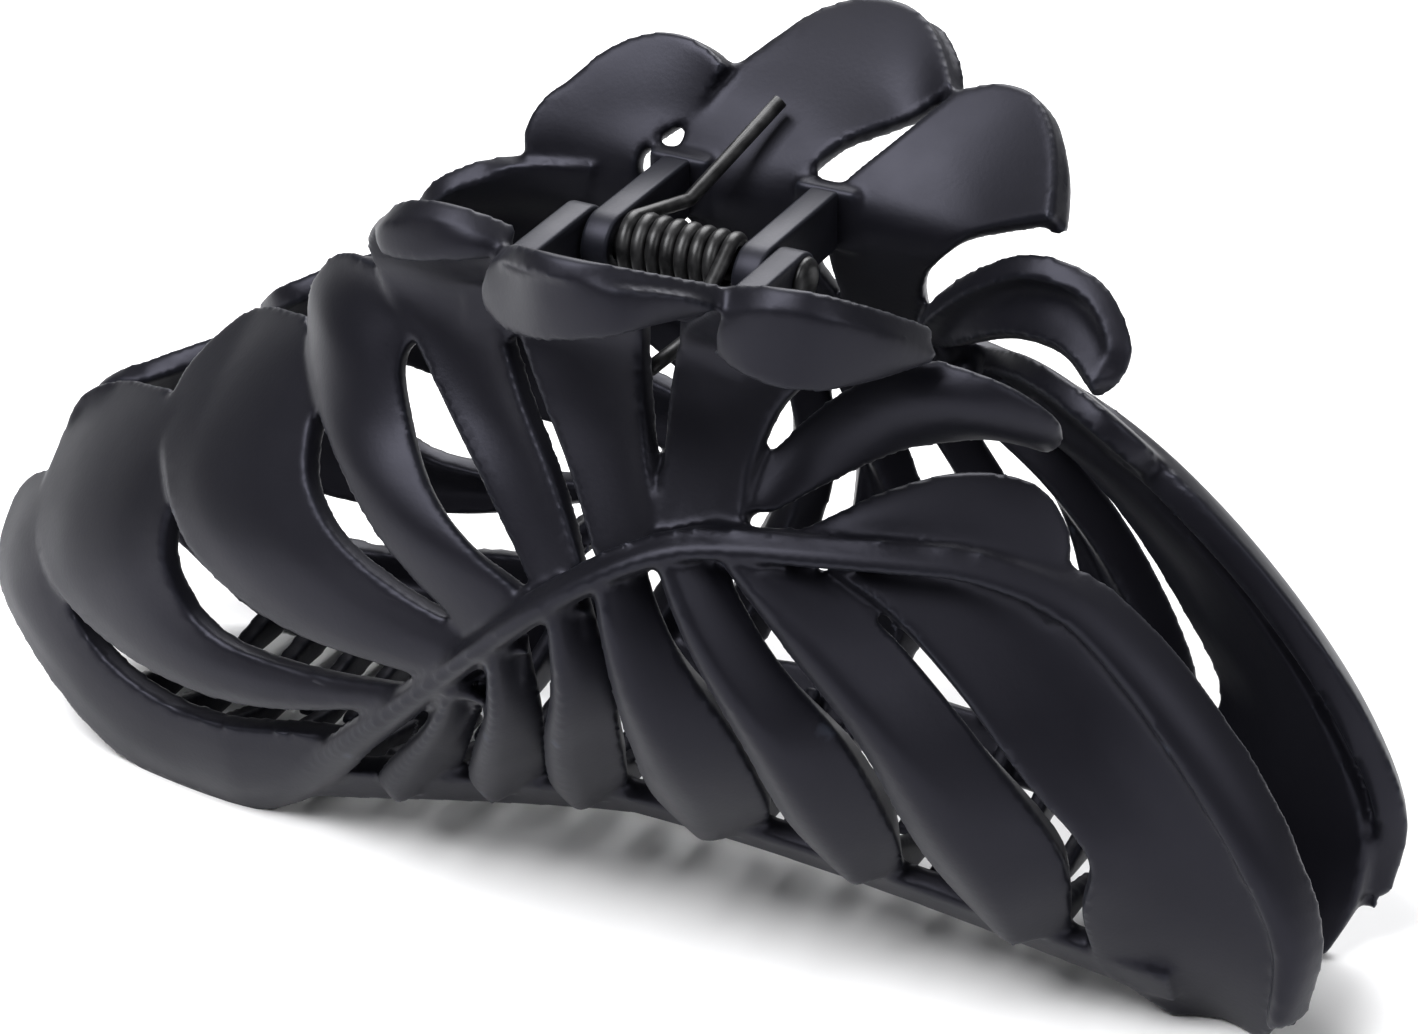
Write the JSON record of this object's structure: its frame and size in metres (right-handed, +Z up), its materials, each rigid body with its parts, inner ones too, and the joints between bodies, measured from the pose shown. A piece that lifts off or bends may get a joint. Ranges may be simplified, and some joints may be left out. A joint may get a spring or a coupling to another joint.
{
  "type": "claw clip",
  "caption": "Hair claw clip with two leaf-pattern jaws that turn on a hinge pin, a torsion spring that holds them shut, flared finger scoops and interlocking comb teeth.",
  "frame": {"origin": "on the surface the closed clip stands on, under the middle of its box", "axes": "+X along the hinge pin towards the end with the long slot, +Y towards the back jaw, +Z up towards the finger scoops"},
  "size_m": [0.13, 0.0594, 0.0691],
  "materials": {
    "plastic": "matte black soft-touch coat over moulded plastic",
    "steel": "black coated spring steel, satin"
  },
  "bodies": {
    "front": {"front_jaw": "plastic", "hinge_pin": "steel", "torsion_spring": "steel"},
    "back": {"back_jaw": "plastic"}
  },
  "joints": [
    {"name": "jaw_hinge", "type": "hinge", "parent": "front", "child": "back", "pos_m": [0.0022, 0, 0.056], "axis": [1, 0, 0], "range_deg": [0, 60], "stiffness_Nm_per_rad": 0.2, "springref_deg": -34.38, "deforming": ["torsion_spring"]}
  ]
}
